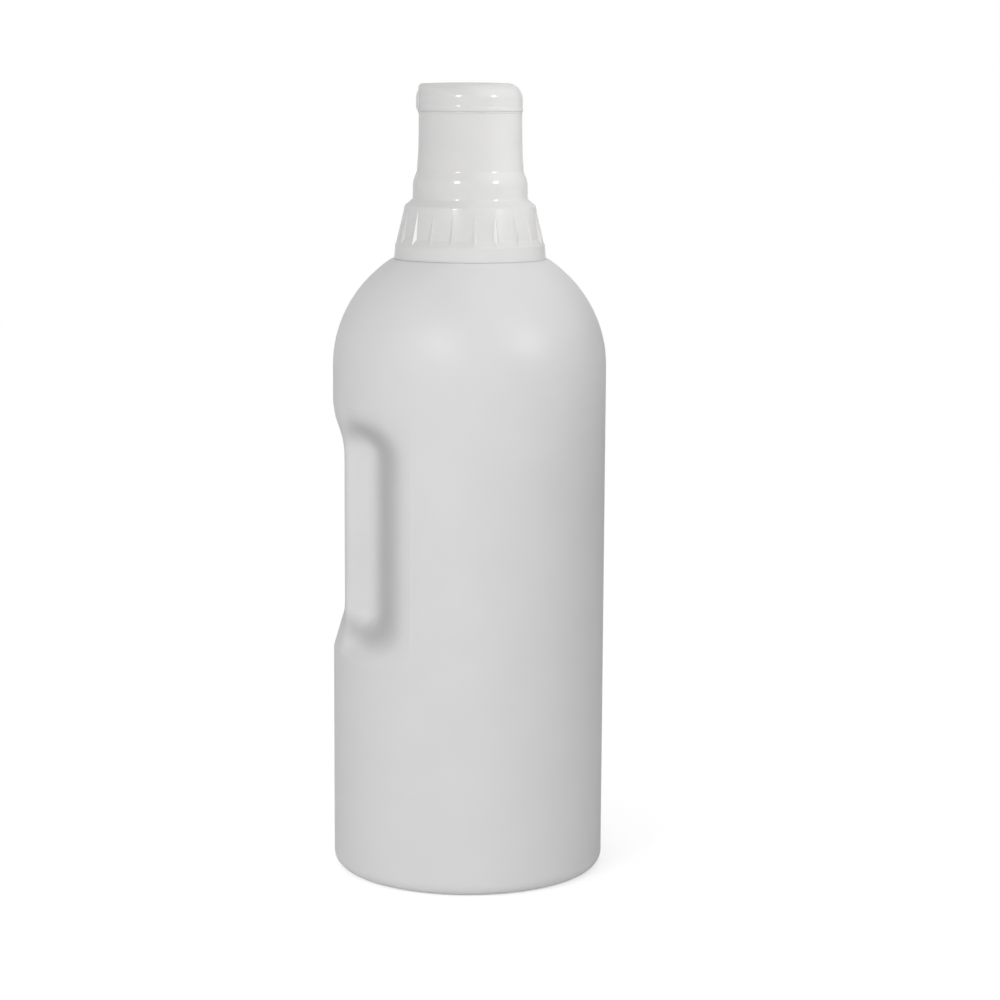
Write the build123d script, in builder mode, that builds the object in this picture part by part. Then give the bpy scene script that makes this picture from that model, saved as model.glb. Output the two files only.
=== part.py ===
from build123d import *
import math
import os

os.makedirs("parts", exist_ok=True)

# Driving dimensions in millimetres: +Z is up, the grip and the lid's hinge face -X, the base stands on Z = 0

# Bottle: round body, domed shoulder, flat deck and neck
body_radius = 44.0
wall = 1.3
heel_radius = 4.5
foot_width = 3.5
push_up = 4.5
body_height = 164.6
shoulder_rise = 41.6
shoulder_spans = 8
deck_margin = 0.75
deck_round = 0.9
neck_radius = 17.4
neck_wall = 1.9
neck_height = 13.8
rim_round = 0.5

# Grip: a flat-backed bar left standing between two finger recesses
grip_below_shoulder = 27.6
grip_height = 49.0
grip_low_run = 18.0
grip_high_run = 16.0
grip_back_depth = 3.6
grip_half_width = 17.0
grip_wall_depth = 11.8
grip_wall_slant = 17.0
grip_runout = 0.03
grip_bar_round = 7.0
grip_valley_round = 8.0
grip_lip_round = 6.0
grip_points = 41
grip_sections = 21
grip_cutter_margin = 26.0

# Collar of the cap, from the deck up to the seat of the insert
deck_clearance = 0.1
thread_room = 1.6
bore_lead = 1.0
bore_lead_height = 3.3
collar_wall = 5.3
band_height = 4.4
band_draft = 0.3
ledge_wall = 3.6
ledge_height = 2.2
edge_wall = 2.4
edge_below_seat = 1.3
shoulder_wall = 2.0
shoulder_above_seat = 1.1

# Ribs of the collar: each ridge starts inside the band and runs out on the shoulder
rib_count = 20
rib_phase = -86.0
rib_root = 0.4
rib_inset = 0.05
rib_rise = 0.4
rib_tip_proud = 0.05
rib_spread = 1.31
rib_depth = 2.35
rib_tip_depth = 0.8

# Waist and tower of the cap, above the seat, with the chamber inside
seat_width = 2.4
waist_wall = 1.8
waist_draft = 0.1
waist_foot = 3.3
waist_top = 8.85
taper_top = 12.1
taper_proud = 0.6
tower_foot = 18.9
tower_draft = 0.15
tower_step = 0.15
tower_wall = 1.45
tower_height = 30.9
tower_lip = 1.5
chamber_straight = 6.4
chamber_taper = 14.4
deck_thickness = 1.5

# Spout
spout_radius = 5.9
spout_draft = 0.2
spout_wall = 1.4
spout_height = 5.4

# Radii that round the corners of the cap
crisp_round = 0.3
edge_round = 0.4
ledge_round = 0.5
root_round = 0.6
shoulder_round = 1.0
waist_round = 0.8
waist_top_round = 7.0
taper_round = 2.0
chamber_round = 4.0
tower_foot_round = 25.0

# Lid, its lip, hinge block and the ring that seals round the spout
parting_gap = 0.05
lid_overhang = 0.15
lid_wall = 1.5
lid_height = 9.05
lid_crown = 0.5
lid_thickness = 1.6
lid_top_round = 4.8
lid_ceiling_round = 3.6
lip_proud = 0.25
lip_height = 1.55
lip_stock = 4.0
lip_round = 0.2
lip_crease_slope = 2.1
hinge_block_half_width = 6.5
hinge_block_depth = 7.6
hinge_block_height = 5.2
hinge_block_drop = 0.4
hinge_block_draft = 0.3
hinge_block_round = 1.5
hinge_block_end_round = 3.0
hinge_block_inset = 0.05
seal_ring_clearance = 0.2
seal_ring_wall = 1.0
seal_ring_reach = 2.4
seal_ring_root = 0.5

# Strap of film between tower and lid
strap_angle = 40.0
strap_clearance_angle = 48.0
strap_root = 1.0
strap_root_depth = 0.15
strap_root_chamfer = 0.3
strap_parting = 0.05
strap_rise = 6.25
strap_gap = 0.15
strap_bow_gap = 0.35
strap_bow = 0.75
strap_end = 0.4

# Dosing insert, seal ring and dip tube
seal_thickness = 1.0
seal_margin = 0.2
flange_thickness = 1.0
flange_clearance = 0.6
ring_clearance = 0.3
ring_wall = 1.0
ring_height = 3.9
floor_step = 0.5
skirt_clearance = 0.3
skirt_wall = 1.2
skirt_length = 3.2
standpipe_step = 0.7
standpipe_wall = 1.2
standpipe_gap = 4.5
socket_clearance = 0.1
socket_wall = 1.3
socket_length = 10.6
socket_stop = 1.6
tube_radius = 4.0
tube_wall = 0.9
tube_floor_gap = 2.2
tube_cut_angle = 35.0

# How far a cutter passes the face that it opens, and how near an edge lies to the height that it is picked by
overshoot = 1.0
pick = 0.01

# Radii and heights that follow from the dimensions
cap_bore_radius = neck_radius + thread_room
collar_radius = cap_bore_radius + collar_wall
deck_radius = collar_radius + deck_margin
deck_height = body_height + shoulder_rise * math.sqrt(1 - (deck_radius / body_radius) ** 2)
rim_height = deck_height + neck_height
neck_bore_radius = neck_radius - neck_wall
flange_bottom = rim_height + seal_thickness
seat = flange_bottom + flange_thickness
collar_bottom = deck_height + deck_clearance
band_top = collar_bottom + band_height
band_top_radius = collar_radius - band_draft
chamber_radius = cap_bore_radius - seat_width
waist_radius = chamber_radius + waist_wall
tower_radius = chamber_radius - tower_step
tower_inner_radius = tower_radius - tower_wall
tower_top = seat + tower_height
deck_top = tower_top - tower_lip
chamber_top = deck_top - deck_thickness
spout_bore_radius = spout_radius - spout_wall
spout_top = deck_top + spout_height
lid_bottom = tower_top + parting_gap
lid_top = lid_bottom + lid_height
lid_edge = lid_top - lid_crown
lid_ceiling = lid_top - lid_thickness
lid_radius = tower_radius + lid_overhang
lid_inner_radius = lid_radius - lid_wall
grip_high = body_height - grip_below_shoulder
grip_low = grip_high - grip_height
grip_brim = body_radius + grip_runout
grip_wall_offset = body_radius - grip_wall_depth


def soft_min(a, b, width):
    """Smaller of two lengths, rounded where they differ by less than the width."""
    nearness = max(width - abs(a - b), 0.0) / width
    return min(a, b) - width * nearness * nearness / 4


def soft_max(a, b, width):
    """Larger of two lengths, rounded where they differ by less than the width."""
    return -soft_min(-a, -b, width)


def recess_radius(angle, end_share):
    """Distance from the axis to the recess: the angle is in radians from -X, the share is 1 at its outer ends."""
    across = max(abs(math.sin(angle)), 1e-3)
    back = (body_radius - grip_back_depth) / math.cos(angle)
    bar = soft_min(back, grip_half_width / across, grip_bar_round)
    side = grip_wall_offset / math.cos(abs(angle) - math.radians(grip_wall_slant))
    pocket = soft_max(bar, side, grip_valley_round)
    recess = soft_min(grip_brim, pocket, grip_lip_round)
    return recess + (grip_brim - recess) * end_share * end_share * (3 - 2 * end_share)


def recess_section(height, growth):
    """Section of the space round the grip: a spline along the recess, closed outside the body."""
    end_share = max((grip_low - height) / grip_low_run, (height - grip_high) / grip_high_run, 0.0)
    reach = math.radians(grip_wall_slant) + math.acos(grip_wall_offset / (grip_brim + grip_lip_round))
    steps = [2 * index / (grip_points - 1) - 1 for index in range(grip_points)]
    points = []
    for step in steps:
        angle = reach * step
        radius = recess_radius(angle, end_share) - growth
        points.append((-radius * math.cos(angle), -radius * math.sin(angle)))
    far = body_radius + grip_cutter_margin
    with BuildSketch(Plane.XY.offset(height)) as section:
        with BuildLine():
            add(Edge.make_spline(points, parameters=steps))
            Polyline(points[-1], (-far, -far), (-far, far), points[0])
        make_face()
    return section.sketch.face()


def recess_form(growth):
    """Solid space round the grip, lofted up the bottle's side."""
    bottom = grip_low - grip_low_run
    pitch = (grip_high + grip_high_run - bottom) / (grip_sections - 1)
    with BuildPart() as space:
        loft([recess_section(bottom + pitch * index, growth) for index in range(grip_sections)])
    return space.part


def bottle_form(inset, throat_radius, throat_top):
    """Solid form of the bottle: the outside with no inset, or the hollow with the wall as inset."""
    radius = body_radius - inset
    heel_centre = body_radius - heel_radius
    foot_inner_radius = heel_centre - foot_width
    dome_rise = shoulder_rise - inset
    dome_end = math.asin((deck_height - inset - body_height) / dome_rise)
    dome_turns = [dome_end * index / shoulder_spans for index in range(shoulder_spans + 1)]
    dome_points = [(radius * math.cos(turn), body_height + dome_rise * math.sin(turn)) for turn in dome_turns]
    dome_tangents = [(0, 1), (-radius * math.sin(dome_end), dome_rise * math.cos(dome_end))]
    space = recess_form(inset)
    with BuildPart() as form:
        with BuildSketch(Plane.XZ):
            with BuildLine():
                under = ThreePointArc((0, push_up + inset), (foot_inner_radius / 2, 0.75 * push_up + inset),
                                      (foot_inner_radius, inset))
                foot = Line(under @ 1, (heel_centre, inset))
                heel = RadiusArc(foot @ 1, (radius, heel_radius), -(heel_radius - inset))
                Line(heel @ 1, (radius, body_height))
                dome = Spline(*dome_points, tangents=dome_tangents)
                Polyline(dome @ 1, (throat_radius, deck_height - inset), (throat_radius, throat_top),
                         (0, throat_top), under @ 0)
            make_face()
        revolve(axis=Axis.Z)
        add(space, mode=Mode.SUBTRACT)
    return form.part


outside = bottle_form(0.0, neck_radius, rim_height)
hollow = bottle_form(wall, neck_bore_radius, rim_height + overshoot)

# Bottle: one blown shell
with BuildPart() as bottle:
    add(outside)
    add(hollow, mode=Mode.SUBTRACT)
    deck_edges = bottle.edges().filter_by(GeomType.CIRCLE).filter_by_position(
        Axis.Z, deck_height - pick, deck_height + pick)
    fillet(deck_edges, deck_round)
    rim_edges = bottle.edges().filter_by(GeomType.CIRCLE).filter_by_position(
        Axis.Z, rim_height - pick, rim_height + pick)
    fillet(rim_edges, rim_round)
bottle.part.label = "bottle"
export_step(bottle.part, "parts/bottle.step")

# One rib of the collar: a wedge with a sharp ridge, from the band up to the shoulder
shoulder_radius = cap_bore_radius + shoulder_wall
rib_ends = (
    (band_top - rib_root, band_top_radius - rib_inset, rib_depth),
    (seat + rib_rise, shoulder_radius + rib_tip_proud, rib_tip_depth),
)
with BuildPart() as rib:
    for height, ridge, depth in rib_ends:
        with BuildSketch(Plane.XY.offset(height)):
            half_width = rib_spread * depth
            Polygon((ridge, 0), (ridge - depth, half_width), (ridge - depth, -half_width), align=None)
    loft(ruled=True)

# Cap: outside and inside of the turned section as corners, each with the radius that rounds it
cap_corners = [
    ((collar_radius, collar_bottom), edge_round),
    ((band_top_radius, band_top), crisp_round),
    ((cap_bore_radius + ledge_wall, band_top + ledge_height), ledge_round),
    ((cap_bore_radius + edge_wall, seat - edge_below_seat), ledge_round),
    ((shoulder_radius, seat + shoulder_above_seat), shoulder_round),
    ((waist_radius, seat + waist_foot), waist_round),
    ((waist_radius - waist_draft, seat + waist_top), waist_top_round),
    ((tower_radius + taper_proud, seat + taper_top), taper_round),
    ((tower_radius + tower_draft, seat + tower_foot), tower_foot_round),
    ((tower_radius, tower_top), crisp_round),
    ((tower_inner_radius, tower_top), crisp_round),
    ((tower_inner_radius, deck_top), root_round),
    ((spout_radius, deck_top), root_round),
    ((spout_radius - spout_draft, spout_top), edge_round),
    ((spout_bore_radius, spout_top), edge_round),
    ((spout_bore_radius, chamber_top), crisp_round),
    ((tower_inner_radius, chamber_top), waist_round),
    ((tower_inner_radius + tower_draft, seat + chamber_taper), chamber_round),
    ((chamber_radius, seat + chamber_straight), chamber_round),
    ((chamber_radius, seat), 0.0),
    ((cap_bore_radius, seat), edge_round),
    ((cap_bore_radius, collar_bottom + bore_lead_height), ledge_round),
    ((cap_bore_radius + bore_lead, collar_bottom), crisp_round),
]

with BuildPart() as dosing_cap:
    with BuildSketch(Plane.XZ):
        with BuildLine():
            FilletPolyline(*[corner for corner, radius in cap_corners],
                           radius=[radius for corner, radius in cap_corners], close=True)
        make_face()
    revolve(axis=Axis.Z)
    with PolarLocations(0, rib_count, start_angle=rib_phase):
        add(rib.part)
dosing_cap.part.label = "dosing_cap"
export_step(dosing_cap.part, "parts/dosing_cap.step")

# Lip of the lid: a ring whose upper edge slopes down from the hinge to the front, open at the strap
with BuildPart() as lip:
    with BuildSketch(Plane.XZ):
        with BuildLine():
            lip_radius = lid_radius + lip_proud
            FilletPolyline((lid_inner_radius, lid_bottom), (lip_radius, lid_bottom),
                           (lip_radius, lid_bottom + lip_stock), (lid_inner_radius, lid_bottom + lip_stock),
                           radius=[0.0, lip_round, 0.0, 0.0], close=True)
        make_face()
    revolve(axis=Axis.Z)
    crease = math.radians(lip_crease_slope)
    crease_plane = Plane((0, 0, lid_bottom + lip_height), z_dir=(math.sin(crease), 0, math.cos(crease)))
    split(bisect_by=crease_plane, keep=Keep.BOTTOM)
    with BuildSketch(Plane.XY.offset(lid_bottom - overshoot)):
        far = 2 * lid_radius
        half_opening = far * math.tan(math.radians(strap_clearance_angle / 2))
        Polygon((0, 0), (-far, half_opening), (-far, -half_opening), align=None)
    extrude(amount=lip_stock + 2 * overshoot, mode=Mode.SUBTRACT)

# Hinge block: fills the lid's rounded edge behind the strap
with BuildPart() as hinge_block:
    block_top = lid_top - hinge_block_drop
    block_bottom = block_top - hinge_block_height
    block_inner = lid_radius - hinge_block_depth
    with BuildSketch(Plane.XZ):
        with BuildLine():
            FilletPolyline((-block_inner, block_bottom), (-lid_radius, block_bottom),
                           (-lid_radius + hinge_block_draft, block_top), (-block_inner, block_top),
                           radius=[0.0, 0.0, hinge_block_round, 0.0], close=True)
        make_face()
    extrude(amount=hinge_block_half_width, both=True)
    fillet(hinge_block.edges().filter_by(Axis.X).group_by(Axis.Z)[-1], hinge_block_end_round)
    with BuildSketch(Plane.XY.offset(block_bottom - overshoot)):
        Circle(lid_radius - hinge_block_inset)
    extrude(amount=hinge_block_height + 2 * overshoot, mode=Mode.INTERSECT)

# Lid: crowned cup with seal ring, lip and hinge block
with BuildPart() as flip_lid:
    with BuildSketch(Plane.XZ):
        with BuildLine():
            crown = ThreePointArc((0, lid_top), (lid_radius / 2, lid_top - lid_crown / 4), (lid_radius, lid_edge))
            Polyline(crown @ 1, (lid_radius, lid_bottom), (0, lid_bottom), crown @ 0)
        make_face()
    revolve(axis=Axis.Z)
    fillet(flip_lid.edges().filter_by_position(Axis.Z, lid_edge - pick, lid_edge + pick), lid_top_round)
    add(hinge_block.part)
    with BuildSketch(Plane.XZ):
        with BuildLine():
            cup_bottom = lid_bottom - overshoot
            FilletPolyline((0, cup_bottom), (lid_inner_radius, cup_bottom), (lid_inner_radius, lid_ceiling),
                           (0, lid_ceiling), radius=[0.0, 0.0, lid_ceiling_round, 0.0], close=True)
        make_face()
    revolve(axis=Axis.Z, mode=Mode.SUBTRACT)
    with BuildSketch(Plane.XZ):
        with BuildLine():
            seal_ring_inner = spout_radius + seal_ring_clearance
            seal_ring_outer = seal_ring_inner + seal_ring_wall
            seal_ring_bottom = spout_top - seal_ring_reach
            seal_ring_top = lid_ceiling + seal_ring_root
            Polyline((seal_ring_inner, seal_ring_bottom), (seal_ring_outer, seal_ring_bottom),
                     (seal_ring_outer, seal_ring_top), (seal_ring_inner, seal_ring_top), close=True)
        make_face()
    revolve(axis=Axis.Z)
    add(lip.part)
flip_lid.part.label = "flip_lid"
export_step(flip_lid.part, "parts/flip_lid.step")

# Strap: a bowed sector of film, rooted on the tower and ending beside the lid
with BuildPart() as hinge_strap:
    strap_start = math.radians(180 - strap_angle / 2)
    strap_plane = Plane((0, 0, 0), x_dir=(math.cos(strap_start), math.sin(strap_start), 0),
                        z_dir=(math.sin(strap_start), -math.cos(strap_start), 0))
    strap_bottom = tower_top - strap_root
    strap_top = lid_bottom + strap_rise
    strap_middle = (strap_bottom + strap_top) / 2
    root_radius = tower_radius - strap_root_depth
    root_top = tower_top - strap_parting
    with BuildSketch(strap_plane):
        with BuildLine():
            outer = ThreePointArc((lid_radius + strap_gap, strap_bottom), (lid_radius + strap_bow, strap_middle),
                                  (lid_radius + strap_end, strap_top))
            inner = ThreePointArc((lid_radius + strap_gap, strap_top - strap_root_chamfer),
                                  (lid_radius + strap_bow_gap, strap_middle), (lid_radius + strap_gap, root_top))
            Line(outer @ 1, inner @ 0)
            Polyline(inner @ 1, (root_radius, root_top), (root_radius, strap_bottom + strap_root_chamfer), outer @ 0)
        make_face()
    revolve(axis=Axis.Z, revolution_arc=strap_angle)
hinge_strap.part.label = "hinge_strap"
export_step(hinge_strap.part, "parts/hinge_strap.step")

# Dosing insert: chamber floor with flange, ring, skirt, standpipe and tube socket
with BuildPart() as dosing_insert:
    flange_radius = cap_bore_radius - flange_clearance
    ring_radius = chamber_radius - ring_clearance
    ring_inner_radius = ring_radius - ring_wall
    ring_top = seat + ring_height
    floor_top = seat + floor_step
    skirt_radius = neck_bore_radius - skirt_clearance
    skirt_inner_radius = skirt_radius - skirt_wall
    skirt_bottom = flange_bottom - skirt_length
    standpipe_bore_radius = tube_radius - standpipe_step
    standpipe_radius = standpipe_bore_radius + standpipe_wall
    standpipe_top = chamber_top - standpipe_gap
    socket_bore_radius = tube_radius + socket_clearance
    socket_radius = socket_bore_radius + socket_wall
    socket_bottom = flange_bottom - socket_length
    socket_shoulder = flange_bottom - socket_stop
    with BuildSketch(Plane.XZ):
        with BuildLine():
            Polyline((flange_radius, flange_bottom), (flange_radius, seat), (ring_radius, seat),
                     (ring_radius, ring_top), (ring_inner_radius, ring_top), (ring_inner_radius, floor_top),
                     (standpipe_radius, floor_top), (standpipe_radius, standpipe_top),
                     (standpipe_bore_radius, standpipe_top), (standpipe_bore_radius, socket_shoulder),
                     (socket_bore_radius, socket_shoulder), (socket_bore_radius, socket_bottom),
                     (socket_radius, socket_bottom), (socket_radius, flange_bottom),
                     (skirt_inner_radius, flange_bottom), (skirt_inner_radius, skirt_bottom),
                     (skirt_radius, skirt_bottom), (skirt_radius, flange_bottom), close=True)
        make_face()
    revolve(axis=Axis.Z)
dosing_insert.part.label = "dosing_insert"
export_step(dosing_insert.part, "parts/dosing_insert.step")

# Dip tube: a straight tube with a slanted lower end
with BuildPart() as dip_tube:
    tube_bottom = push_up + wall + tube_floor_gap
    stock_bottom = tube_bottom - 2 * tube_radius
    with BuildSketch(Plane.XY.offset(stock_bottom)):
        Circle(tube_radius)
        Circle(tube_radius - tube_wall, mode=Mode.SUBTRACT)
    extrude(amount=socket_shoulder - stock_bottom)
    slant = math.radians(tube_cut_angle)
    slant_middle = tube_bottom + tube_radius * math.tan(slant)
    split(bisect_by=Plane((0, 0, slant_middle), z_dir=(math.sin(slant), 0, math.cos(slant))), keep=Keep.TOP)
dip_tube.part.label = "dip_tube"
export_step(dip_tube.part, "parts/dip_tube.step")

# Seal: a flat ring between rim and flange
with BuildPart() as neck_seal:
    with BuildSketch(Plane.XY.offset(rim_height)):
        Circle(flange_radius - seal_margin)
        Circle(neck_bore_radius, mode=Mode.SUBTRACT)
    extrude(amount=seal_thickness)
neck_seal.part.label = "neck_seal"
export_step(neck_seal.part, "parts/neck_seal.step")
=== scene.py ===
import math

import bmesh
import bpy
from mathutils import Matrix, Vector


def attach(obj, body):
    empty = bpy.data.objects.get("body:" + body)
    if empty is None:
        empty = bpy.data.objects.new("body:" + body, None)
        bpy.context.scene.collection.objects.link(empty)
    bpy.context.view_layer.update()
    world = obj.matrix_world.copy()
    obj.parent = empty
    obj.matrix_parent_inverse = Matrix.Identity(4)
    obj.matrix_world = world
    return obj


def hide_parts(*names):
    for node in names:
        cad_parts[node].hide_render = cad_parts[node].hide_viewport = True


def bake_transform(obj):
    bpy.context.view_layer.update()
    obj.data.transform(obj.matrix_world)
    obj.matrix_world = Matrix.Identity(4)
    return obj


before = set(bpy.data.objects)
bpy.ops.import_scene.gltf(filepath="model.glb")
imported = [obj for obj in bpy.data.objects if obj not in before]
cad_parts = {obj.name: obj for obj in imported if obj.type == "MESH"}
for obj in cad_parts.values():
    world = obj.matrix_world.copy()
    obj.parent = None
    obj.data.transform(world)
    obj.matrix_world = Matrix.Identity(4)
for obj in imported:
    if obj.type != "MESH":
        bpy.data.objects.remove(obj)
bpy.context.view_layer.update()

scene = bpy.context.scene
scene.view_settings.view_transform = "Standard"

# Lengths are in metres and angles in radians, in the frame of the solids
MM = 0.001
AXIS_UP = Vector((0, 0, 1))
CENTRE = Vector((0, 0, 0))
RING_STEPS = 120
MERGE_DISTANCE = 0.002 * MM

# Screw thread: its root lies a little inside the wall, and its ends lose most of their height
NECK_RADIUS = 17.4 * MM
CAP_BORE_RADIUS = 19.0 * MM
THREAD_PITCH = 4.2 * MM
THREAD_STEPS_PER_TURN = 40
THREAD_ROOT_DEPTH = 0.1 * MM
THREAD_END_LOSS = 0.8

# Film strap at the hinge: its sides keep a small share of its thickness
STRAP_HALF_ANGLE = math.radians(14)
STRAP_INSIDE = 16.63 * MM
STRAP_STEPS = 20
STRAP_SIDE_SHARE = 0.08

# Flip lid: its top edge is small over the hinge and full further round, and the crease over its lip slopes
LID_TOP = 254.6 * MM
LID_CROWN_FALL = 0.4 * MM
LID_RADIUS = 16.6 * MM
LID_OUTSIDE = 16.5 * MM
LID_TOP_ROUND = 4.8 * MM
LID_HINGE_ROUND = 1.3 * MM
LID_ROUND_START = 0.35
LID_ROUND_END = 1.15
LID_CREASE_LOW = 246.9 * MM
LID_CREASE_HIGH = 247.4 * MM
LID_CREASE_SLOPE = 0.04
LID_LIP_FADE = 0.2

# Crease round the grip, where shade is painted into the colour: its front edge, ends and corner, how far the
# painted shade spreads, and where it runs out
CREASE_FRONT = 25.9 * MM
CREASE_LOW = 78.4 * MM
CREASE_HIGH = 145.5 * MM
CREASE_MIDDLE = (CREASE_LOW + CREASE_HIGH) / 2
CREASE_CORNER = 8.0 * MM
CREASE_RISE = 0.3
CREASE_SHADE_SPREAD = 6.4 * MM
CREASE_FULL_TO = 36 * MM
CREASE_GONE_AT = 43 * MM

# Tones of the finishes, each from its darkest to its lightest, and a darker one that is painted shade along
# the grip's crease
WALL_TONES = (0.782, 0.774, 0.782), (0.802, 0.794, 0.802)
CREASE_PAINTED_SHADE = (0.595, 0.587, 0.592)
CAP_TONES = (0.745, 0.745, 0.738), (0.765, 0.765, 0.758)
NATURAL_TONES = (0.80, 0.80, 0.775), (0.83, 0.83, 0.81)
FOAM_TONES = (0.72, 0.72, 0.70), (0.80, 0.80, 0.78)

# Camera, level with the lid and tilted down; its slight roll takes up a lean of the bottle in the photograph
CAMERA_PLACE = (0.0093, -0.869, 0.2535)
CAMERA_TILT = math.radians(90 - 8.7)
CAMERA_ROLL = math.radians(-0.32)
CAMERA_LENS = 97.4
CAMERA_SENSOR = 36

# Studio: where the softboxes point, the room's level of light, and the floor
BOTTLE_MIDDLE = Vector((0, 0, 0.15))
ROOM_LIGHT = 0.68
ZENITH_LOSS = 0.2
FLOOR_HALF_SIDE = 2.0
FLOOR_TONE = 0.9
FLOOR_LIFT = 0.5


def new_material(name):
    """A node material with one Principled shader, and the tree that its other nodes go into."""
    material = bpy.data.materials.new(name)
    material.use_nodes = True
    tree = material.node_tree
    shader = tree.nodes["Principled BSDF"]
    return material, tree, shader


def object_point(tree):
    """Output socket with the point on the piece, in metres."""
    return tree.nodes.new("ShaderNodeTexCoord").outputs["Object"]


def split(tree, point):
    """Output sockets X, Y and Z of a point."""
    apart = tree.nodes.new("ShaderNodeSeparateXYZ")
    tree.links.new(point, apart.inputs["Vector"])
    return apart.outputs


def combine(tree, operation, first, second=None):
    """Math node on sockets or plain numbers."""
    node = tree.nodes.new("ShaderNodeMath")
    node.operation = operation
    for socket, value in zip(node.inputs, (first, second)):
        if isinstance(value, (int, float)):
            socket.default_value = value
        elif value is not None:
            tree.links.new(value, socket)
    return node.outputs["Value"]


def fade(tree, value, start, end):
    """Smooth step from 0 at the start to 1 at the end."""
    ramp = tree.nodes.new("ShaderNodeMapRange")
    ramp.interpolation_type = "SMOOTHSTEP"
    ramp.inputs["From Min"].default_value = start
    ramp.inputs["From Max"].default_value = end
    tree.links.new(value, ramp.inputs["Value"])
    return ramp.outputs["Result"]


def grain(tree, point, size, detail):
    """Noise whose lumps are about one size across, in metres."""
    noise = tree.nodes.new("ShaderNodeTexNoise")
    noise.inputs["Scale"].default_value = 1 / size
    noise.inputs["Detail"].default_value = detail
    tree.links.new(point, noise.inputs["Vector"])
    return noise.outputs["Fac"]


def spread(tree, value, low, high):
    """Maps a noise of 0.3 to 0.7 on to a range."""
    ramp = tree.nodes.new("ShaderNodeMapRange")
    ramp.inputs["From Min"].default_value = 0.3
    ramp.inputs["From Max"].default_value = 0.7
    ramp.inputs["To Min"].default_value = low
    ramp.inputs["To Max"].default_value = high
    tree.links.new(value, ramp.inputs["Value"])
    return ramp.outputs["Result"]


def relief(tree, height, depth, under=None):
    """Bump of a height from 0 to 1 over a depth in metres, laid on another bump."""
    bump = tree.nodes.new("ShaderNodeBump")
    bump.inputs["Strength"].default_value = 1.0
    bump.inputs["Distance"].default_value = depth
    tree.links.new(height, bump.inputs["Height"])
    if under is not None:
        tree.links.new(under, bump.inputs["Normal"])
    return bump.outputs["Normal"]


def two_tones(tree, value, first, second):
    """Colour between two tones, each a plain colour or an output socket."""
    mix = tree.nodes.new("ShaderNodeMix")
    mix.data_type = "RGBA"
    for name, tone in (("A", first), ("B", second)):
        if isinstance(tone, tuple):
            mix.inputs[name].default_value = (*tone, 1)
        else:
            tree.links.new(tone, mix.inputs[name])
    tree.links.new(value, mix.inputs["Factor"])
    return mix.outputs["Result"]


def seen_by_camera(tree, seen, otherwise):
    """Shader that shows the camera one thing and gives the light of another."""
    path = tree.nodes.new("ShaderNodeLightPath")
    choice = tree.nodes.new("ShaderNodeMixShader")
    tree.links.new(path.outputs["Is Camera Ray"], choice.inputs["Fac"])
    tree.links.new(otherwise, choice.inputs[1])
    tree.links.new(seen, choice.inputs[2])
    return choice.outputs["Shader"]


def mould_seam(tree, point, half_width):
    """Height of 1 along the plane Y = 0, where the two halves of the mould meet."""
    away = combine(tree, "ABSOLUTE", split(tree, point)["Y"])
    return fade(tree, away, half_width, 0)


def painted_crease_shade(tree, point):
    """1 along the crease round the grip, where shade is painted into the colour, and 0 away from it."""
    along = split(tree, point)
    backward = combine(tree, "MULTIPLY", along["X"], -1)
    past_front = combine(tree, "SUBTRACT", backward, CREASE_FRONT)
    below_middle = fade(tree, along["Z"], CREASE_MIDDLE, CREASE_LOW)
    rise = combine(tree, "MULTIPLY", combine(tree, "MULTIPLY", past_front, CREASE_RISE), below_middle)
    height = combine(tree, "SUBTRACT", along["Z"], rise)
    from_middle = combine(tree, "ABSOLUTE", combine(tree, "SUBTRACT", height, CREASE_MIDDLE))
    beyond_end = combine(tree, "SUBTRACT", from_middle, CREASE_HIGH - CREASE_MIDDLE - CREASE_CORNER)
    before_front = combine(tree, "SUBTRACT", CREASE_CORNER, past_front)
    upright = combine(tree, "POWER", combine(tree, "MAXIMUM", beyond_end, 0), 2)
    forward = combine(tree, "POWER", combine(tree, "MAXIMUM", before_front, 0), 2)
    reach = combine(tree, "SQRT", combine(tree, "ADD", upright, forward))
    away = combine(tree, "ABSOLUTE", combine(tree, "SUBTRACT", reach, CREASE_CORNER))
    line = fade(tree, away, CREASE_SHADE_SPREAD, 0)
    ends = fade(tree, backward, CREASE_GONE_AT, CREASE_FULL_TO)
    return combine(tree, "MULTIPLY", line, ends)


def blown_plastic():
    """Satin milk-white polyethylene: mould grain, slow waves, a faint seam, and shade painted into the colour
    along the crease round the grip.
    """
    material, tree, shader = new_material("blown_plastic")
    point = object_point(tree)
    cloud = spread(tree, grain(tree, point, size=22 * MM, detail=2), low=0, high=1)
    wall = two_tones(tree, cloud, *WALL_TONES)
    # Painted shade: the colour darkens along the grip's crease, standing in for the shade of its recess
    crease_shaded = two_tones(tree, painted_crease_shade(tree, point), wall, CREASE_PAINTED_SHADE)
    tree.links.new(crease_shaded, shader.inputs["Base Color"])
    satin = spread(tree, grain(tree, point, size=6 * MM, detail=3), low=0.40, high=0.48)
    tree.links.new(satin, shader.inputs["Roughness"])
    shader.inputs["IOR"].default_value = 1.5
    shader.inputs["Subsurface Weight"].default_value = 0.12
    shader.inputs["Subsurface Radius"].default_value = (1.0, 0.95, 0.9)
    shader.inputs["Subsurface Scale"].default_value = 3 * MM
    waves = relief(tree, grain(tree, point, size=26 * MM, detail=1), depth=0.10 * MM)
    mould_grain = relief(tree, grain(tree, point, size=0.7 * MM, detail=2), depth=0.012 * MM, under=waves)
    seamed = relief(tree, mould_seam(tree, point, half_width=0.28 * MM), depth=0.05 * MM, under=mould_grain)
    tree.links.new(seamed, shader.inputs["Normal"])
    return material


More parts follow.
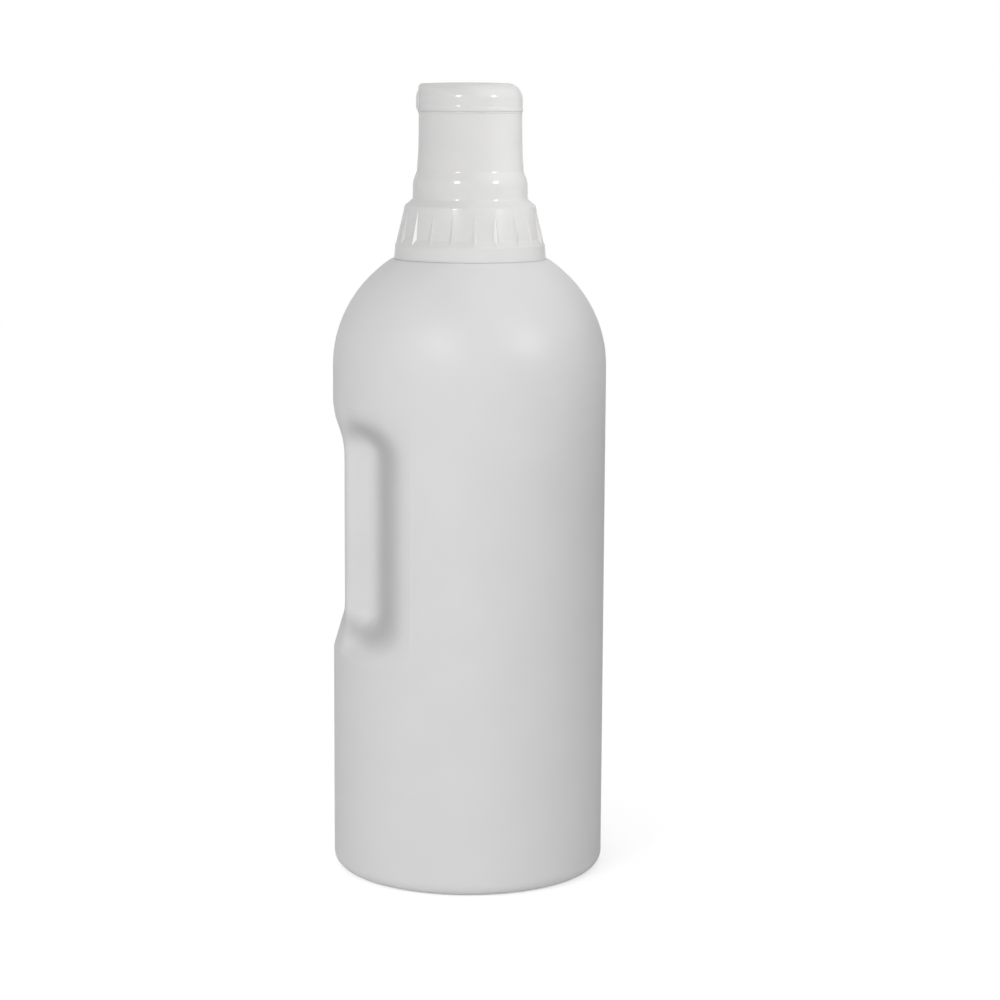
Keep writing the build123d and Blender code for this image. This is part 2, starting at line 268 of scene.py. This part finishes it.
def cap_plastic():
    """Glossy white polypropylene with slight flow waves."""
    material, tree, shader = new_material("cap_gloss")
    point = object_point(tree)
    cloud = spread(tree, grain(tree, point, size=14 * MM, detail=2), low=0, high=1)
    tree.links.new(two_tones(tree, cloud, *CAP_TONES), shader.inputs["Base Color"])
    gloss = spread(tree, grain(tree, point, size=4 * MM, detail=3), low=0.15, high=0.19)
    tree.links.new(gloss, shader.inputs["Roughness"])
    shader.inputs["IOR"].default_value = 1.5
    shader.inputs["Subsurface Weight"].default_value = 0.08
    shader.inputs["Subsurface Scale"].default_value = 1.5 * MM
    waves = relief(tree, grain(tree, point, size=9 * MM, detail=1), depth=0.02 * MM)
    tree.links.new(waves, shader.inputs["Normal"])
    return material


def natural_plastic():
    """Uncoloured polypropylene of the inner pieces: waxy and a little translucent."""
    material, tree, shader = new_material("inner_natural")
    point = object_point(tree)
    cloud = spread(tree, grain(tree, point, size=10 * MM, detail=2), low=0, high=1)
    tree.links.new(two_tones(tree, cloud, *NATURAL_TONES), shader.inputs["Base Color"])
    wax = spread(tree, grain(tree, point, size=3 * MM, detail=2), low=0.34, high=0.42)
    tree.links.new(wax, shader.inputs["Roughness"])
    shader.inputs["Subsurface Weight"].default_value = 0.3
    shader.inputs["Subsurface Scale"].default_value = 2 * MM
    return material


def seal_foam():
    """Closed-cell foam: matt, with fine cells."""
    material, tree, shader = new_material("seal_foam")
    cells = tree.nodes.new("ShaderNodeTexVoronoi")
    cells.inputs["Scale"].default_value = 1 / (0.4 * MM)
    tree.links.new(object_point(tree), cells.inputs["Vector"])
    from_cell = cells.outputs["Distance"]
    tree.links.new(two_tones(tree, from_cell, *FOAM_TONES), shader.inputs["Base Color"])
    shader.inputs["Roughness"].default_value = 0.8
    tree.links.new(relief(tree, from_cell, depth=0.05 * MM), shader.inputs["Normal"])
    return material


def pale_floor():
    """Pale floor that comes out white away from the bottle and keeps its shadow."""
    material = bpy.data.materials.new("pale_floor")
    material.use_nodes = True
    tree = material.node_tree
    tree.nodes.clear()
    matt = tree.nodes.new("ShaderNodeBsdfDiffuse")
    matt.inputs["Color"].default_value = (FLOOR_TONE, FLOOR_TONE, FLOOR_TONE, 1)
    lift = tree.nodes.new("ShaderNodeEmission")
    lift.inputs["Strength"].default_value = FLOOR_LIFT
    lifted = tree.nodes.new("ShaderNodeAddShader")
    tree.links.new(matt.outputs["BSDF"], lifted.inputs[0])
    tree.links.new(lift.outputs["Emission"], lifted.inputs[1])
    shown = seen_by_camera(tree, lifted.outputs["Shader"], matt.outputs["BSDF"])
    output = tree.nodes.new("ShaderNodeOutputMaterial")
    tree.links.new(shown, output.inputs["Surface"])
    return material


def studio_world():
    """White behind the bottle; its light is grey, less from above, with a dark flag low on the right."""
    world = bpy.data.worlds.new("studio")
    world.use_nodes = True
    tree = world.node_tree
    tree.nodes.clear()
    white = tree.nodes.new("ShaderNodeBackground")
    white.inputs["Color"].default_value = (1, 1, 1, 1)
    white.inputs["Strength"].default_value = 1.0
    direction = split(tree, tree.nodes.new("ShaderNodeTexCoord").outputs["Generated"])
    rightward = fade(tree, direction["X"], 0.15, 0.7)
    low_down = fade(tree, direction["Z"], 0.75, 0.1)
    overhead = fade(tree, direction["Z"], 0.3, 0.9)
    beside_flag = combine(tree, "SUBTRACT", 1, combine(tree, "MULTIPLY", rightward, low_down))
    from_side = combine(tree, "SUBTRACT", 1, combine(tree, "MULTIPLY", overhead, ZENITH_LOSS))
    open_sky = combine(tree, "MULTIPLY", beside_flag, from_side)
    room = tree.nodes.new("ShaderNodeBackground")
    room.inputs["Color"].default_value = (1, 1, 1, 1)
    tree.links.new(combine(tree, "MULTIPLY", open_sky, ROOM_LIGHT), room.inputs["Strength"])
    shown = seen_by_camera(tree, white.outputs["Background"], room.outputs["Background"])
    sky = tree.nodes.new("ShaderNodeOutputWorld")
    tree.links.new(shown, sky.inputs["Surface"])
    return world


def dress(node, material):
    """Gives a carried-over solid its finish."""
    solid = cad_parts[node]
    solid.data.materials.clear()
    solid.data.materials.append(material)


def finished_piece(name, shape, material):
    """Turns a bmesh into a smooth-shaded object of the scene with its finish."""
    bmesh.ops.recalc_face_normals(shape, faces=shape.faces)
    mesh = bpy.data.meshes.new(name)
    shape.to_mesh(mesh)
    shape.free()
    mesh.polygons.foreach_set("use_smooth", [True] * len(mesh.polygons))
    piece = bpy.data.objects.new(name, mesh)
    scene.collection.objects.link(piece)
    mesh.materials.append(material)
    return piece


def from_axis(vert):
    """Distance of a vertex from the bottle's axis."""
    return Vector((vert.co.x, vert.co.y)).length


def hinge_angle(vert):
    """How far a vertex lies round the axis from the hinge side, from 0 at -X to pi at +X."""
    return abs(math.atan2(vert.co.y, -vert.co.x))


def move_to_radius(vert, radius):
    """Moves a vertex level, towards the axis or away from it."""
    stretch = radius / from_axis(vert)
    vert.co.x *= stretch
    vert.co.y *= stretch


def smooth_share(value, start, end):
    """Smooth step from 0 at the start to 1 at the end, for numbers."""
    share = min(max((value - start) / (end - start), 0), 1)
    return share * share * (3 - 2 * share)


def in_metres(points):
    """Points of a section, each a radius and a height, taken from millimetres to metres."""
    return [(radius * MM, height * MM) for radius, height in points]


def turned(points, closed):
    """Shape spun a full turn from a section, which starts at the hinge side."""
    shape = bmesh.new()
    section = [shape.verts.new((-radius, 0, height)) for radius, height in points]
    pairs = list(zip(section, section[1:]))
    if closed:
        pairs.append((section[-1], section[0]))
    lines = [shape.edges.new(pair) for pair in pairs]
    bmesh.ops.spin(shape, geom=[*section, *lines], cent=CENTRE, axis=AXIS_UP, angle=math.tau,
                   steps=RING_STEPS, use_merge=True)
    bmesh.ops.remove_doubles(shape, verts=shape.verts, dist=MERGE_DISTANCE)
    return shape


def screw_thread(root, crest, foot, turns, root_half, crest_half):
    """One right-handed thread with ends that run out, spun up from its section."""
    shape = bmesh.new()
    corners = [
        shape.verts.new((root, 0, foot - root_half)),
        shape.verts.new((crest, 0, foot - crest_half)),
        shape.verts.new((crest, 0, foot + crest_half)),
        shape.verts.new((root, 0, foot + root_half)),
    ]
    section = shape.faces.new(corners)
    steps = round(turns * THREAD_STEPS_PER_TURN)
    step_rise = Vector((0, 0, THREAD_PITCH / THREAD_STEPS_PER_TURN))
    swept = bmesh.ops.spin(shape, geom=[section, *section.edges, *section.verts], cent=CENTRE, axis=AXIS_UP,
                           angle=turns * math.tau, steps=steps, dvec=step_rise)
    last = [item for item in swept["geom_last"] if isinstance(item, bmesh.types.BMVert)]
    for end in (corners, last):
        tips = [vert for vert in end if abs(from_axis(vert) - crest) < 0.01 * MM]
        outward = Vector((tips[0].co.x, tips[0].co.y, 0)).normalized()
        bmesh.ops.translate(shape, verts=tips, vec=outward * (root - crest) * THREAD_END_LOSS)
    return shape


def film_strap():
    """Bowed film from the tower to the lid: strips spun round the cap's back, their sides tapered off."""
    shape = bmesh.new()
    # Height, inside radius and outside radius in millimetres
    stations = [
        (244.6, 16.40, 16.46), (245.1, 16.42, 16.70), (245.5, 16.60, 16.80), (245.9, 16.63, 16.98),
        (246.3, 16.63, 17.18), (246.7, 16.63, 17.29), (247.2, 16.63, 17.34), (247.8, 16.63, 17.36),
        (248.4, 16.63, 17.36), (249.0, 16.63, 17.36), (249.6, 16.63, 17.34), (250.2, 16.63, 17.29),
        (250.7, 16.63, 17.22), (251.2, 16.63, 17.10), (251.6, 16.63, 16.96), (251.9, 16.63, 16.82),
        (252.0, 16.63, 16.70),
    ]
    inside = [shape.verts.new((-inner * MM, 0, height * MM)) for height, inner, outer in stations]
    outside = [shape.verts.new((-outer * MM, 0, height * MM)) for height, inner, outer in stations]
    strips = []
    for low in range(len(stations) - 1):
        strips.append(shape.faces.new((inside[low], inside[low + 1], outside[low + 1], outside[low])))
    bmesh.ops.rotate(shape, verts=shape.verts, cent=CENTRE, matrix=Matrix.Rotation(-STRAP_HALF_ANGLE, 3, "Z"))
    bmesh.ops.spin(shape, geom=[*strips, *shape.edges, *shape.verts], cent=CENTRE, axis=AXIS_UP,
                   angle=2 * STRAP_HALF_ANGLE, steps=STRAP_STEPS)
    for vert in shape.verts:
        share = min(hinge_angle(vert) / STRAP_HALF_ANGLE, 1)
        taper = STRAP_SIDE_SHARE + (1 - STRAP_SIDE_SHARE) * math.sqrt(1 - share ** 2)
        thickness = from_axis(vert) - STRAP_INSIDE
        if thickness > 0:
            move_to_radius(vert, STRAP_INSIDE + thickness * taper)
    return shape


def lid_edge_round(angle):
    """Radius of the lid's top edge: small over the hinge, full round the rest."""
    share = smooth_share(angle, LID_ROUND_START, LID_ROUND_END)
    return LID_HINGE_ROUND + (LID_TOP_ROUND - LID_HINGE_ROUND) * share


def lid_section():
    """Section of the lid from the middle of its top, down its side and up inside to the middle again."""
    rings = [0, 3, 6, 9, 10.5, 11.4, 11.9, 12.5, 13.1, 13.7, 14.2, 14.7, 15.1, 15.4, 15.65, 15.9, 16.1, 16.27,
             16.4, 16.5, 16.56, 16.6]
    crown = [(ring * MM, LID_TOP - LID_CROWN_FALL * (ring * MM / LID_RADIUS) ** 2) for ring in rings]
    skirt = [(16.6, 247.35), (16.61, 247.2), (16.72, 247.05), (16.74, 246.95), (16.74, 245.7), (16.7, 245.58),
             (16.62, 245.55), (16.3, 245.55), (15.1, 245.55)]
    ceiling = [(15.1, 249.4), (14.8, 250.9), (13.9, 252.1), (12.7, 252.8), (11.5, 253.0)]
    seal_ring = [(7.6, 253.0), (7.25, 252.9), (7.1, 252.5), (7.1, 250.9), (6.9, 250.6), (6.3, 250.6),
                 (6.1, 250.9), (6.1, 252.8), (5.9, 253.0), (0, 253.0)]
    return crown + in_metres(skirt + ceiling + seal_ring)


def lid_shell():
    """Flip lid, turned, its top edge then rounded off more the further it is from the hinge."""
    shape = turned(lid_section(), closed=False)
    under_crown = LID_TOP - LID_CROWN_FALL - 0.1 * MM
    for vert in shape.verts:
        radius = from_axis(vert)
        angle = hinge_angle(vert)
        if vert.co.z > under_crown:
            edge_round = lid_edge_round(angle)
            past = max(radius - (LID_RADIUS - edge_round), 0)
            vert.co.z -= edge_round - math.sqrt(max(edge_round ** 2 - past ** 2, 0))
        elif LID_CREASE_LOW < vert.co.z < LID_CREASE_HIGH and radius > LID_OUTSIDE:
            vert.co.z -= vert.co.x * LID_CREASE_SLOPE
        if radius > LID_RADIUS:
            lip = smooth_share(angle, STRAP_HALF_ANGLE, STRAP_HALF_ANGLE + LID_LIP_FADE)
            move_to_radius(vert, LID_RADIUS + (radius - LID_RADIUS) * lip)
    return shape


def place_lamp(name, lamp, azimuth, elevation, distance, target):
    """Puts a lamp where it faces a target: azimuth is to the right of the camera, in degrees."""
    fitting = bpy.data.objects.new(name, lamp)
    across = math.radians(azimuth)
    up = math.radians(elevation)
    direction = Vector((math.sin(across) * math.cos(up), -math.cos(across) * math.cos(up), math.sin(up)))
    fitting.location = target + direction * distance
    fitting.rotation_euler = direction.to_track_quat("Z", "Y").to_euler()
    fitting.visible_camera = False
    scene.collection.objects.link(fitting)
    return fitting


def softbox(name, azimuth, elevation, distance, width, height, watts):
    """Area lamp that faces the bottle's middle."""
    lamp = bpy.data.lights.new(name, "AREA")
    lamp.shape = "RECTANGLE"
    lamp.size = width
    lamp.size_y = height
    lamp.energy = watts
    return place_lamp(name, lamp, azimuth, elevation, distance, BOTTLE_MIDDLE)


def head_spot(name, azimuth, elevation, distance, cone, radius, watts, height):
    """Soft-edged spot lamp that picks out the cap and runs out on the shoulder."""
    lamp = bpy.data.lights.new(name, "SPOT")
    lamp.spot_size = math.radians(cone)
    lamp.spot_blend = 1.0
    lamp.shadow_soft_size = radius
    lamp.energy = watts
    return place_lamp(name, lamp, azimuth, elevation, distance, Vector((0, 0, height)))


bottle_finish = blown_plastic()
cap_finish = cap_plastic()
inner_finish = natural_plastic()
foam_finish = seal_foam()

dress("bottle", bottle_finish)
dress("dosing_cap", cap_finish)
dress("dosing_insert", inner_finish)
dress("dip_tube", inner_finish)
dress("neck_seal", foam_finish)

# Threads of neck and cap, half a pitch apart so that they mesh
neck_thread = finished_piece(
    "neck_thread",
    screw_thread(root=NECK_RADIUS - THREAD_ROOT_DEPTH, crest=18.7 * MM, foot=202.3 * MM, turns=1.9,
                 root_half=1.15 * MM, crest_half=0.5 * MM),
    bottle_finish)
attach(neck_thread, "bottle")

cap_thread = finished_piece(
    "cap_thread",
    screw_thread(root=CAP_BORE_RADIUS + THREAD_ROOT_DEPTH, crest=17.8 * MM, foot=204.4 * MM, turns=1.7,
                 root_half=1.05 * MM, crest_half=0.5 * MM),
    cap_finish)
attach(cap_thread, "cap")

# Film hinge between tower and lid
strap = finished_piece("film_strap", film_strap(), cap_finish)
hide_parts("hinge_strap")
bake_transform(strap)

# Lid, with a round top edge that runs out to a block at the hinge
lid = finished_piece("flip_lid_shell", lid_shell(), cap_finish)
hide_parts("flip_lid")
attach(lid, "lid")

# Beads that finish the collar's foot and the tower's rim
foot_section = in_metres(
    [(23.5, 198.84), (24.2, 198.84), (24.29, 198.9), (24.31, 199.0), (24.31, 199.35), (23.5, 199.35)])
collar_foot = finished_piece("collar_foot", turned(foot_section, closed=True), cap_finish)
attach(collar_foot, "cap")

rim_section = in_metres(
    [(16.0, 244.9), (16.45, 244.9), (16.5, 245.2), (16.5, 245.46), (16.46, 245.52), (16.0, 245.52)])
tower_rim = finished_piece("tower_rim", turned(rim_section, closed=True), cap_finish)
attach(tower_rim, "cap")

camera_data = bpy.data.cameras.new("camera")
camera_data.lens = CAMERA_LENS
camera_data.sensor_width = CAMERA_SENSOR
camera = bpy.data.objects.new("camera", camera_data)
camera.location = CAMERA_PLACE
camera.rotation_euler = (CAMERA_TILT, CAMERA_ROLL, 0)
scene.collection.objects.link(camera)
scene.camera = camera

# Broad light for the tone of the surfaces, and two small lamps for their sheen
broad_light = [
    softbox("left_softbox", azimuth=-27, elevation=22, distance=1.3, width=0.12, height=0.09, watts=1.05),
    softbox("front_softbox", azimuth=8, elevation=5, distance=1.4, width=0.8, height=0.4, watts=4.7),
    head_spot("head_spot", azimuth=54, elevation=21, distance=1.3, cone=5.8, radius=0.08, watts=22.0,
              height=241 * MM),
    head_spot("head_side_spot", azimuth=94, elevation=22, distance=1.3, cone=5.8, radius=0.06, watts=56.0,
              height=233 * MM),
]
for fitting in broad_light:
    fitting.visible_glossy = False

glints = [
    softbox("left_glint", azimuth=-27, elevation=25, distance=1.3, width=0.12, height=0.09, watts=4.0),
    softbox("right_glint", azimuth=55, elevation=23, distance=1.3, width=0.12, height=0.09, watts=4.0),
]
for fitting in glints:
    fitting.visible_diffuse = False

scene.world = studio_world()

floor_shape = bmesh.new()
bmesh.ops.create_grid(floor_shape, x_segments=1, y_segments=1, size=FLOOR_HALF_SIDE)
floor_mesh = bpy.data.meshes.new("floor")
floor_shape.to_mesh(floor_mesh)
floor_shape.free()
floor = bpy.data.objects.new("floor", floor_mesh)
floor_mesh.materials.append(pale_floor())
scene.collection.objects.link(floor)
